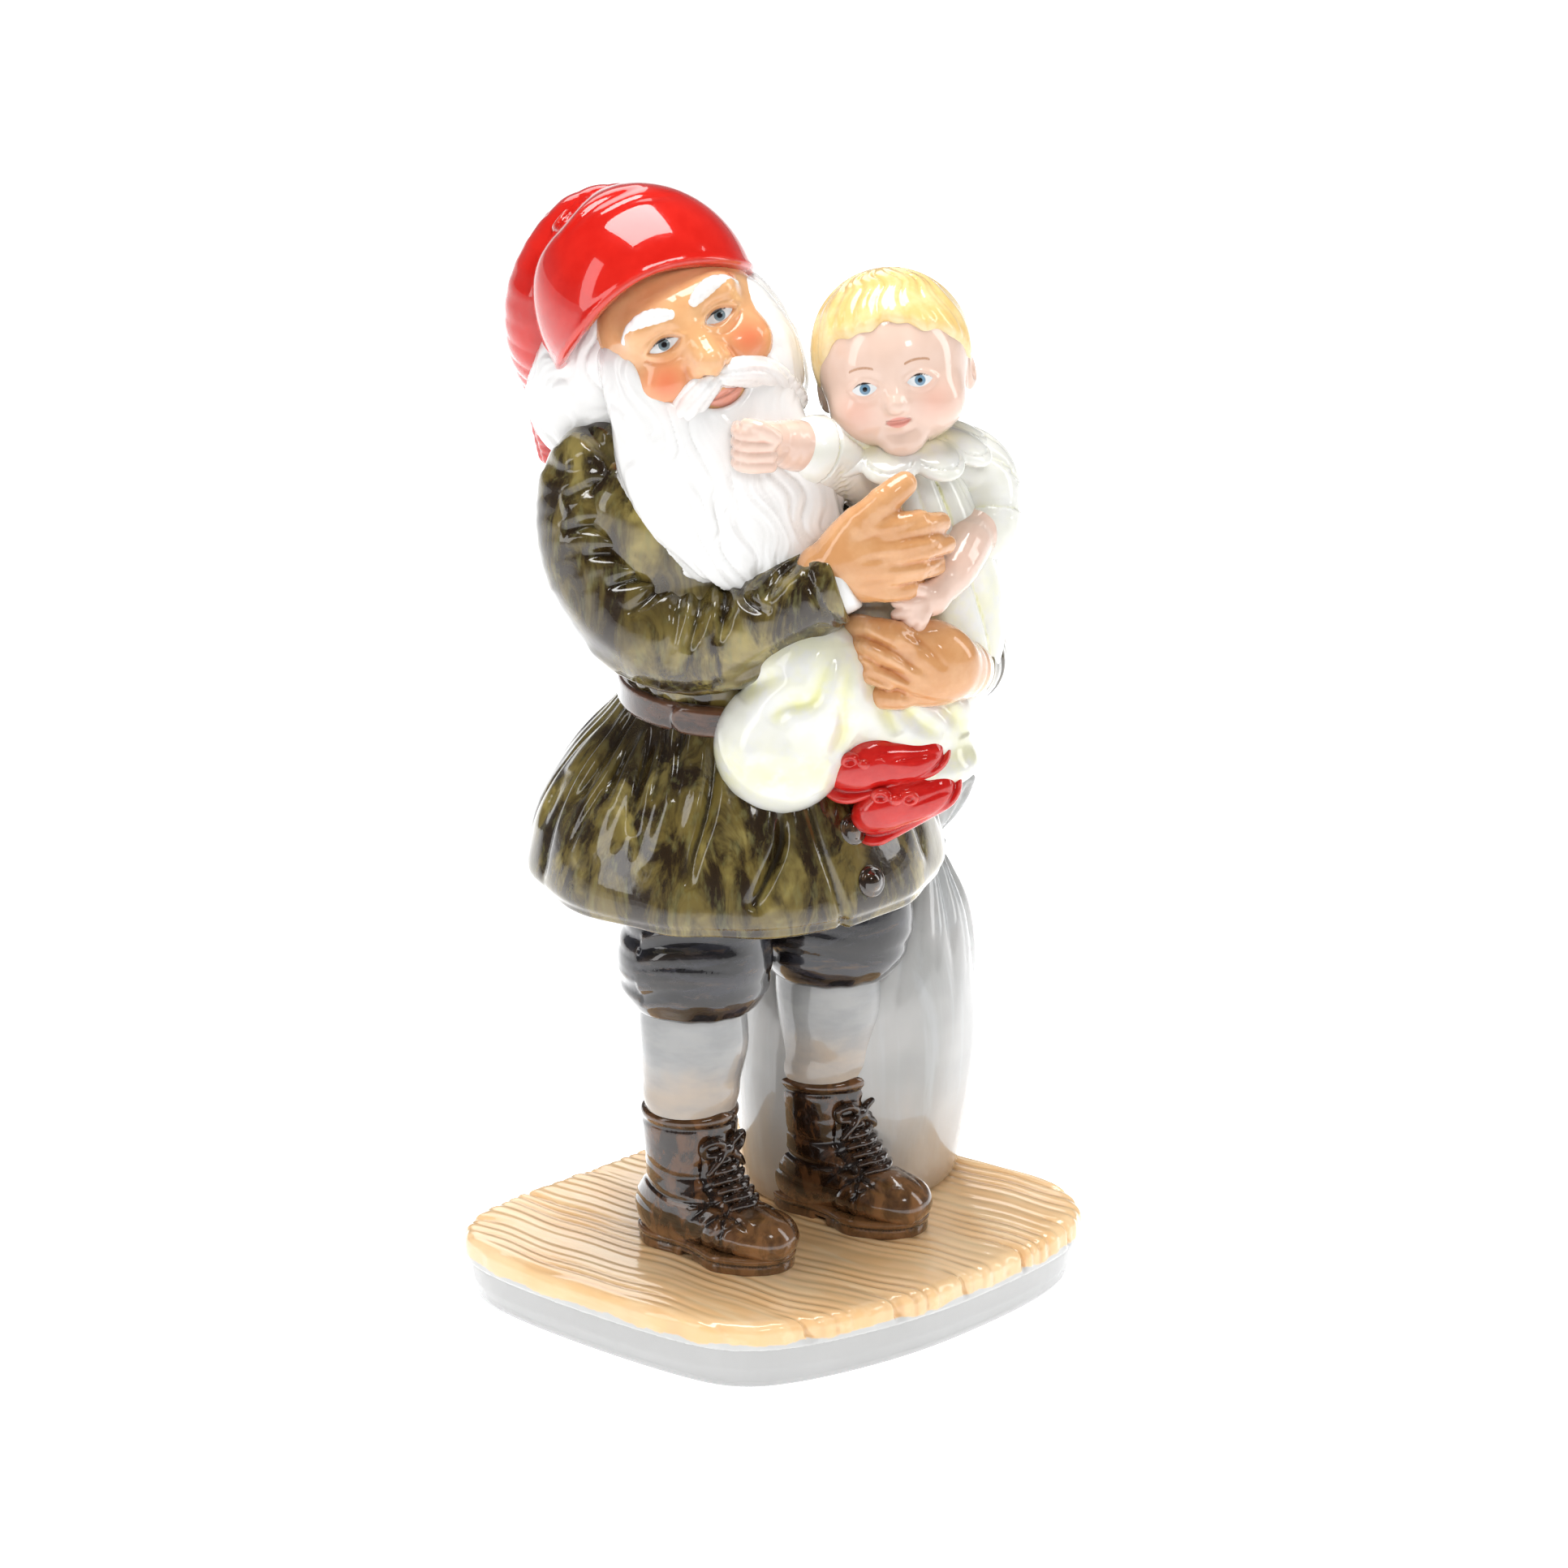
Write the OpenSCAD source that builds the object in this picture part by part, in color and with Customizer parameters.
/* [Plinth] */
// Width of the plinth, side to side
base_w = 102; // [98:1:106]
// Depth of the plinth, front to back
base_d = 90; // [86:1:94]
// Height of the standing surface above the table
base_h = 15; // [12:0.5:18]
// Thickness of the painted floorboards
board_t = 5; // [4:0.5:6]

/* [Castings] */
// Wall of the hollow castings
wall = 3.5; // [3:0.5:4]
// Flats round one casting
sides = 18; // [14:2:20]
// Rings between two measured sections
steps = 2; // [2:1:2]

/* [Trim] */
// Diameter of the coat buttons
button_d = 5.4; // [4:0.2:7]
// Height of the belt
belt_h = 6; // [5:0.5:7]
// Diameter of the kiln vent under the plinth
vent_d = 3; // [2:0.5:3.5]

/* [Hidden] */

up = [0, 0, 1];
ground = base_h;
ankle_right = [-24.5, 0, ground];
ankle_left = [9.5, -6.4, ground];
hem_z = 90;
waist = [-9.5, 0, 130];
skull = [-22, 4, 203];
skull_r = 20;
look = [-0.55, -0.78, 0.30];
crown = [-0.28, 0.33, 0.90];
head_turn = -44;
cap_seat = [-24.5, 10.5, 207.5];
cap_axis = [-0.12, 0.52, 0.84];
baby_skull = [5.4, -26.4, 196.5];
baby_skull_r = 16.5;
baby_look = [-0.72, -0.67, 0.18];
neck_of_sack = [33.5, -3.5, 87];

// A unit vector
function unit(v) = v / norm(v);
// The point at part t of the way through the curve between b and c
function curve(a, b, c, d, t) =
  ((d - 3 * c + 3 * b - a) * t * t * t + (2 * a - 5 * b + 4 * c - d) * t * t + (c - a) * t + 2 * b) / 2;
// The sections, with smooth ones between them
function smooth(keys) = let(last = len(keys) - 1) [
  for (i = [0:last - 1], k = [0:steps - 1])
    curve(keys[max(i - 1, 0)], keys[i], keys[i + 1], keys[min(i + 2, last)], k / steps),
  keys[last]
];
function place(key) = [key[0], key[1], key[2]];
// One oval section, square to the way the casting runs
function section(centre, along, top, r) =
  let(side = unit(cross(top, along)), rise = cross(along, side)) [
    for (i = [0:sides - 1]) let(a = 360 * i / sides)
      centre + r[0] * cos(a) * side + r[1] * sin(a) * rise
  ];

// A closed skin through rings of points
module skin(rings) {
  n = len(rings[0]);
  last = len(rings) - 1;
  polyhedron(
    points = [for (ring = rings) each ring],
    faces = [
      [for (i = [0:n - 1]) i],
      [for (i = [n - 1:-1:0]) last * n + i],
      for (j = [0:last - 1], i = [0:n - 1]) let(k = (i + 1) % n) each [
        [(j + 1) * n + i, (j + 1) * n + k, j * n + k],
        [(j + 1) * n + i, j * n + k, j * n + i]
      ]
    ]
  );
}

// A casting of level sections, each [x, y, z, half width, half depth], turned about Z
module stacked(keys, turn = 0) {
  skin([for (key = smooth(keys)) section(place(key), up, [-sin(turn), cos(turn), 0], [key[3], key[4]])]);
}

// A casting that follows its sections' centres, for limbs and rolls
module limb(keys, top = up) {
  path = smooth(keys);
  last = len(path) - 1;
  skin([
    for (i = [0:last])
      let(along = unit(place(path[min(i + 1, last)]) - place(path[max(i - 1, 0)])))
        section(place(path[i]), along, top, [path[i][3], path[i][4]])
  ]);
}

// The same sections, a wall's thickness smaller
function inner(keys) = [for (key = keys) key - [0, 0, 0, wall, wall]];
// Sections moved along Z
function raised(keys, dz) = [for (key = keys) key + [0, 0, dz, 0, 0]];

// A hollow casting of level sections, open on its lowest face, where it is luted on
module open_below(keys, turn = 0) {
  last = len(keys) - 1;
  difference() {
    stacked(keys, turn);
    stacked(concat([inner(keys)[0] - [0, 0, 3, 0, 0]], [for (i = [1:last - 1]) inner(keys)[i]]), turn);
  }
}

// A rounded lump: an oval ball of three half axes, its length along a given way
module lump(centre, half_width, half_height, half_length, along, top = up) {
  turns = [-90, -62, -30, 0, 30, 62, 90];
  skin([
    for (a = turns)
      let(r = max(cos(a), 0.12))
        section(centre + half_length * sin(a) * unit(along), unit(along), top,
          [half_width * r, half_height * r])
  ]);
}

// Outline of the plinth: four rounded corners and a bowed front edge, with its rim moved out by grow
module plinth_outline(grow) {
  hull() {
    translate([-base_w / 2 + 12.5, base_d / 2 - 16]) circle(r = 12.5 + grow, $fn = 28);
    translate([base_w / 2 - 19, base_d / 2 - 14]) circle(r = 12 + grow, $fn = 28);
    translate([base_w / 2 - 14.5, -base_d / 2 + 12.5]) circle(r = 12.5 + grow, $fn = 28);
    translate([-base_w / 2 + 9.5, -base_d / 2 + 13.5]) circle(r = 10 + grow, $fn = 28);
    for (x = [-13, 15])
      translate([x, -base_d / 2 + 24.5]) circle(r = 30 + grow, $fn = 60);
  }
}

module plinth_slice(z, grow) {
  translate([0, 0, z]) linear_extrude(0.01) plinth_outline(grow);
}

module base_foot() {
  seat = base_h - board_t;
  color("white") difference() {
    hull() {
      plinth_slice(0, -4);
      plinth_slice(seat / 2, -1.6);
      plinth_slice(seat - 0.01, -0.6);
    }
    translate([0, 0, wall]) linear_extrude(seat) plinth_outline(-wall - 4);
    translate([-12, 18, -1]) cylinder(h = wall + 2, d = vent_d, $fn = 24);
  }
}

module floorboards() {
  color("burlywood") hull() {
    plinth_slice(base_h - board_t, -0.6);
    plinth_slice(base_h - board_t / 2, 0);
    plinth_slice(base_h - 0.01, -1.4);
  }
}

// Heel and sole under one boot, from its ankle forwards
module sole(ankle) {
  color("saddlebrown") translate([ankle[0], ankle[1], ankle[2]]) {
    hull() {
      translate([0, 4.5, 0]) cylinder(h = 3.4, r = 7.6, $fn = 32);
      translate([0, 1.5, 0]) cylinder(h = 3.4, r = 7.2, $fn = 32);
    }
    hull() {
      translate([0, 2, 1.2]) cylinder(h = 2.2, r = 7, $fn = 32);
      translate([0, -14.5, 0]) cylinder(h = 2.6, r = 8.2, $fn = 32);
      translate([2.5, -20.5, 0.2]) cylinder(h = 2.6, r = 6, $fn = 32);
    }
  }
}

// Leather upper of one boot: a foot and an ankle shaft
module upper(ankle) {
  x = ankle[0];
  y = ankle[1];
  color("#3a2415") union() {
    stacked([
      [x, y + 2, ground + 3.4, 7.6, 9.5], [x, y + 1.5, ground + 10, 8.4, 9.2],
      [x, y + 0.5, ground + 19, 9.2, 9.2], [x, y, ground + 29, 10, 9.8]
    ]);
    limb([
      [x, y + 4, ground + 8.6, 6.6, 5.2], [x, y - 5, ground + 10, 7.6, 6.6],
      [x, y - 13, ground + 7.8, 8, 5.3], [x + 1.2, y - 20, ground + 6.2, 6.8, 4],
      [x + 2.4, y - 25.4, ground + 5, 3.4, 1.8]
    ]);
  }
}

// Laces across the tongue, with a bow at the top
module laces(ankle) {
  color("#1f1710") for (row = [0:4])
    translate([ankle[0] + 0.5, ankle[1] - 10.6 - row * 2.4, ankle[2] + 17.4 - row * 1.6])
      rotate([0, 90, 0]) cylinder(h = 8, r = 0.8, center = true, $fn = 16);
  color("#1f1710") for (turn = [-1, 1])
    translate([ankle[0] + 0.5 + turn * 3.2, ankle[1] - 10.2, ankle[2] + 21.5])
      rotate([0, 90 + turn * 24, 0]) cylinder(h = 6.6, r = 1.2, center = true, $fn = 16);
}

module stocking(ankle, calf) {
  x = ankle[0];
  y = ankle[1];
  color("lightgray") stacked([
    [x, y, ground + 24, 8.4, 8.2], [x, y, ground + 31, 9.3, 9.2],
    [x + calf[0] / 2, y + calf[1] / 2, ground + 42, 10.6, 10.6],
    [x + calf[0], y + calf[1], ground + 53, 10.4, 10.4]
  ]);
}

// One leg of the knee breeches, gathered below the knee and luted up against the coat
module breeches_leg(knee, hip) {
  color("#2b2724") stacked([
    [knee[0], knee[1], 66.5, 11, 11], [knee[0], knee[1], 70, 14.6, 14.4],
    [knee[0], knee[1], 78, 15.6, 15.4], [hip[0], hip[1], hem_z, 14.6, 14.4]
  ]);
}

skirt_keys = [
  [-10, 0, hem_z, 41, 40], [-10, 0, hem_z + 6, 41.8, 40.8], [-10, 0, 106, 39, 38],
  [-10, 0, 117, 33.5, 32.6], [-9.5, 0, 125, 27, 26.2], [-9.5, 0, 129.5, 23.2, 22.4]
];

// Closed under the hem, open at the waist into the coat's body
module coat_skirt() {
  floor = raised([inner(skirt_keys)[1]], -1.5);
  top = raised([inner(skirt_keys)[5]], 3);
  color("darkolivegreen") difference() {
    stacked(skirt_keys);
    stacked(concat(floor, [for (i = [2:4]) inner(skirt_keys)[i]], top));
  }
}

body_keys = [
  [-9.5, 0, 129.6, 23, 22], [-11, 0.5, 138, 23.5, 21.5], [-15, 2, 152, 25, 20.5],
  [-18, 4, 165, 26.5, 19], [-20, 6, 175, 25, 16.5], [-21, 7, 182, 17, 13]
];

module coat_body() {
  color("darkolivegreen") open_below(body_keys);
}

module belt() {
  color("#5a2a20") translate([waist[0], waist[1], waist[2] - belt_h / 2]) rotate_extrude($fn = 72)
    translate([21.5, 0]) square([3.2, belt_h]);
}

module buttons() {
  color("saddlebrown") for (seat = [[-13, -36, 110.5], [-11.5, -39, 100]])
    translate(seat) sphere(d = button_d, $fn = 24);
}

module right_sleeve() {
  color("darkolivegreen") limb([
    [-33, 12, 180, 6, 6], [-37.5, 14.4, 175, 9.4, 9.6], [-39.6, 11.4, 163, 10.6, 10.6],
    [-36.6, 4.4, 151.5, 11, 10.8], [-31, -9, 147.5, 10.4, 10], [-25, -21, 152, 9, 8.8],
    [-19.5, -30.5, 158.8, 7.6, 7.6]
  ], [-0.9, -0.4, 0.15]);
}

module left_sleeve() {
  color("darkolivegreen") limb([
    [-6, 2, 178, 6, 6], [3, -1, 174, 9, 9], [14, -8, 162, 10, 10], [22, -16, 147, 10.4, 10],
    [24.5, -24, 137, 9.6, 9.2], [18, -33, 135.5, 8.4, 8], [11, -38.5, 138, 7.4, 7]
  ], [-0.6, 0.5, -0.6]);
}

// Edge of a shirt sleeve showing between coat and hand
module shirt_cuff(start, end) {
  color("white") limb([[start[0], start[1], start[2], 6, 6.2], [end[0], end[1], end[2], 5.6, 5.8]]);
}

module right_shirt_cuff() { shirt_cuff([-20, -29.5, 158], [-17, -34.2, 161.2]); }

module left_shirt_cuff() { shirt_cuff([12, -37.6, 137.8], [8.2, -39.8, 139.6]); }

// An open hand: palm, four fingers side by side and a thumb
module hand(palm, reach, rise, size) {
  color("sandybrown") {
    lump(palm, size * 0.95, size * 0.5, size * 1.25, reach, rise);
    for (finger = [-1.5:1:1.5]) {
      across = unit(cross(rise, reach));
      root = palm + across * finger * size * 0.46 + unit(reach) * size * 0.75;
      lump(root, size * 0.27, size * 0.3, size * 0.95, reach, rise);
    }
    lump(palm - unit(cross(rise, reach)) * size + unit(reach) * size * 0.1, size * 0.3, size * 0.3,
      size * 0.85, unit(reach) - unit(cross(rise, reach)) * 0.9, rise);
  }
}

module right_hand() { hand([-11.5, -40, 166], [0.75, -0.45, 0.5], [-0.55, -0.8, -0.1], 7.4); }

module left_hand() { hand([-1.5, -41.5, 143], [-0.8, -0.3, 0.45], [-0.45, -0.85, 0.1], 7.4); }

// Plain oval head, set by its place and tilt
module skull_form(shrink = 0) {
  lump(skull, skull_r * 0.86 - shrink, skull_r * 0.92 - shrink, skull_r * 1.02 - shrink, crown, look);
}

module head() {
  color("#e9a066") difference() {
    union() {
      skull_form();
      lump(skull + look * skull_r * 0.95 - crown * 4, 2.6, 3, 5, crown, look);
    }
    skull_form(wall);
    translate(skull - crown * 8) rotate([0, 162, -50]) cylinder(h = 30, r = 6, $fn = 32);
  }
}

module eyebrows() {
  color("white") for (side = [-1, 1])
    lump(skull + look * 18.3 + crown * 6.4 + unit(cross(look, crown)) * side * 7, 1.6, 1.5, 4.6,
      unit(cross(look, crown)) - crown * 0.25 * side, look);
}

module moustache() {
  color("white") for (side = [-1, 1])
    lump(skull + look * 17.6 - crown * 9.6 + unit(cross(look, crown)) * side * 5, 2.4, 2.4, 6.4,
      unit(cross(look, crown)) - crown * 0.45 * side, look);
}

module beard() {
  color("whitesmoke") difference() {
    beard_form();
    skull_form();
    stacked(body_keys);
  }
}

module beard_form() {
  stacked([
    [-21.6, -18.1, 152, 4, 3], [-23, -16.7, 158, 9, 5.5], [-24.5, -13.9, 166, 15, 8.5],
    [-26, -11.1, 176, 19, 10.5], [-26, -8.2, 187, 19.5, 11.5], [-26.1, -5.4, 196, 17, 9.5]
  ], head_turn);
}

module hair() {
  color("whitesmoke") difference() {
    hair_form();
    skull_form();
    stacked(body_keys);
  }
}

module hair_form() {
  stacked([
    [-19.4, 18.8, 175, 13, 8], [-18.7, 15.2, 181, 24, 13], [-18.2, 12.1, 189, 28, 16.5],
    [-18.6, 11, 198, 26, 17], [-18.6, 11, 206, 22, 16.5], [-19.3, 11.7, 212, 17, 14]
  ], head_turn);
}

// Sections of the knitted cap, from its brim up to its crown
function cap_ring(s, r) = [each (cap_seat + unit(cap_axis) * s), r, r * 0.97];

module cap() {
  color("red") difference() {
    limb([
      cap_ring(-1, 20.4), cap_ring(5, 21), cap_ring(12, 20), cap_ring(18, 16.5), cap_ring(22.5, 10),
      cap_ring(24.5, 3)
    ], look);
    limb([
      cap_ring(-4, 20.4 - wall), cap_ring(5, 21 - wall), cap_ring(12, 20 - wall), cap_ring(17, 16 - wall)
    ], look);
  }
}

module cap_tail() {
  color("red") limb([
    [-19, 24, 222, 5, 7], [-23.5, 30.5, 218, 6.4, 9], [-26.5, 34.5, 209, 6.4, 9.5],
    [-26.5, 36.5, 197, 5.8, 8.5], [-24, 39, 186, 5, 6.5], [-22, 41.5, 177, 4, 5], [-21.6, 43, 170, 2.2, 2.8]
  ], [0.6, -0.8, 0]);
}

sack_keys = [
  [24, 3.5, ground, 23, 19], [24, 3.5, 27, 25, 21], [24.6, 3, 44, 26.5, 22.5],
  [25.4, 2.5, 60, 25.5, 21.5], [28, 1, 72, 20, 17], [31.5, -1.5, 81, 10.5, 9.5],
  [33.5, -3.5, 87, 5.4, 5.2], [35.2, -5, 93, 7.6, 7], [35.6, -6, 101, 9.4, 8.4]
];

// Full sack standing on the floorboards, its ruffled mouth above the tie
module sack() {
  color("gainsboro") difference() {
    stacked(sack_keys);
    stacked(concat(
      [sack_keys[0] - [0, 0, 3, wall, wall]],
      [for (i = [1:3]) inner(sack_keys)[i]],
      [sack_keys[4] - [0, 0, wall, wall, wall]]
    ));
  }
}

module sack_tie() {
  color("#b9b3a6") translate(neck_of_sack) rotate([16, 28, 0]) rotate_extrude($fn = 48)
    translate([5.6, 0]) circle(r = 1, $fn = 20);
}

romper_keys = [
  [6, -33, 132, 15, 12.5], [10, -32, 141, 16, 13], [11.5, -31, 152, 15.5, 12.5],
  [10.5, -30, 163, 14.5, 11.5], [8, -28.5, 173, 13.5, 10.5], [6, -27.5, 181, 9, 8]
];

module baby_romper() {
  color("ivory") open_below(romper_keys);
}

module baby_bloomers() {
  color("ivory") {
    limb([
      [8, -33, 134, 12, 11], [-2, -32, 131, 13, 12], [-13, -29, 129, 12.5, 12],
      [-21, -26, 127.5, 11, 11.4], [-27, -24, 127, 4, 5]
    ]);
    lump([3, -35, 124], 9, 8.5, 12, [1, -0.2, -0.35]);
  }
}

// Scalloped collar: a ring of round petals
module baby_collar() {
  color("white") for (i = [0:11]) let(a = 360 * i / 12)
    translate([6.3 + 12.5 * cos(a), -27.8 + 10.5 * sin(a), 178.2 + 2 * cos(a + 100)])
      sphere(r = 3.8, $fn = 24);
}

module baby_skull_form(shrink = 0) {
  r = baby_skull_r;
  lump(baby_skull, r * 0.86 - shrink, r * 0.9 - shrink, r * 1.05 - shrink, up, baby_look);
}

module baby_head() {
  ear_way = unit(cross(baby_look, up));
  color("mistyrose") difference() {
    union() {
      baby_skull_form();
      for (side = [-1, 1])
        lump(baby_skull + ear_way * side * baby_skull_r * 0.88 - up * 2.5, 1.6, 2.4, 4, up, baby_look);
    }
    baby_skull_form(wall);
    translate(baby_skull - up * 30) cylinder(h = 25, r = 5, $fn = 32);
  }
}

module baby_hair() {
  color("khaki") difference() {
    lump(baby_skull + [0.6, 0.9, 2.2], baby_skull_r * 0.97, baby_skull_r * 0.98, baby_skull_r * 1.06, up,
      baby_look);
    baby_skull_form();
    translate(baby_skull + baby_look * 20 - up * 18.5) rotate([0, 0, -43])
      cube([50, 40, 50], center = true);
    translate(baby_skull - up * 31) cube([60, 60, 40], center = true);
  }
}

module baby_right_sleeve() {
  color("white") limb([
    [-2, -26, 177, 5.5, 6], [-9, -24.6, 182, 6.2, 6.4], [-16, -23.8, 185, 5.4, 5.8],
    [-19, -23.4, 186.2, 5.2, 5.4]
  ]);
}

module baby_left_sleeve() {
  color("white") limb([
    [16, -30, 178, 5.5, 5.5], [22, -33, 174, 6.6, 6.6], [21.4, -36, 168, 6, 6.2], [19.4, -38, 163.5, 5, 5.2]
  ], [1, 0, 0]);
}

module baby_right_arm() {
  color("mistyrose") {
    limb([[-17, -23.7, 185.4, 3.6, 3.8], [-23, -23, 188, 3.5, 3.7]]);
    lump([-27, -22.7, 189], 4.4, 4.6, 5.4, [-1, 0.1, 0.25]);
  }
}

module baby_left_arm() {
  color("mistyrose") {
    limb([
      [19.6, -38, 164.4, 3.6, 3.8], [14.5, -41, 159.6, 3.6, 3.6], [9, -42.8, 157.2, 3, 3.2]
    ], [0, -1, 0.2]);
    lump([5, -43.4, 155.9], 3.8, 2.4, 5.4, [-0.9, -0.15, -0.3], [0, -1, 0.2]);
  }
}

// A soft shoe, from heel to toe
module shoe(heel, toe, width) {
  color("red") limb([
    for (s = [[0, 0.5, 0.5], [0.3, 1, 0.9], [0.7, 1, 0.8], [1, 0.45, 0.4]])
      [each (heel + (toe - heel) * s[0]), width * s[1], width * s[2]]
  ]);
}

module baby_right_shoe() { shoe([-19.5, -37, 120], [-4.5, -46.5, 124.5], 5.6); }

module baby_left_shoe() { shoe([-16.5, -40.5, 110], [-2.5, -48, 119.5], 5.2); }

module shoe_bow(near_loop, far_loop) {
  hull() {
    translate(near_loop) sphere(r = 2, $fn = 16);
    translate(far_loop) sphere(r = 2, $fn = 16);
  }
}

module shoe_bows() {
  color("firebrick") {
    shoe_bow([-14.8, -44, 126.4], [-11.6, -46, 125.6]);
    shoe_bow([-12.4, -48.6, 117.6], [-9.6, -49.4, 119.4]);
  }
}

module right_sole() { sole(ankle_right); }

module left_sole() { sole(ankle_left); }

module right_boot() { upper(ankle_right); }

module left_boot() { upper(ankle_left); }

module right_laces() { laces(ankle_right); }

module left_laces() { laces(ankle_left); }

module right_stocking() { stocking(ankle_right, [0.5, -0.5]); }

module left_stocking() { stocking(ankle_left, [0.8, -0.6]); }

module right_breeches() { breeches_leg([-24, -1], [-23, -1]); }

module left_breeches() { breeches_leg([10.5, -7.5], [7.5, -5.5]); }

base_foot();
floorboards();
right_sole();
left_sole();
right_boot();
left_boot();
right_laces();
left_laces();
right_stocking();
left_stocking();
right_breeches();
left_breeches();
coat_skirt();
coat_body();
belt();
buttons();
right_sleeve();
left_sleeve();
right_shirt_cuff();
left_shirt_cuff();
right_hand();
left_hand();
head();
eyebrows();
moustache();
beard();
hair();
cap();
cap_tail();
sack();
sack_tie();
baby_romper();
baby_bloomers();
baby_collar();
baby_head();
baby_hair();
baby_right_sleeve();
baby_left_sleeve();
baby_right_arm();
baby_left_arm();
baby_right_shoe();
baby_left_shoe();
shoe_bows();
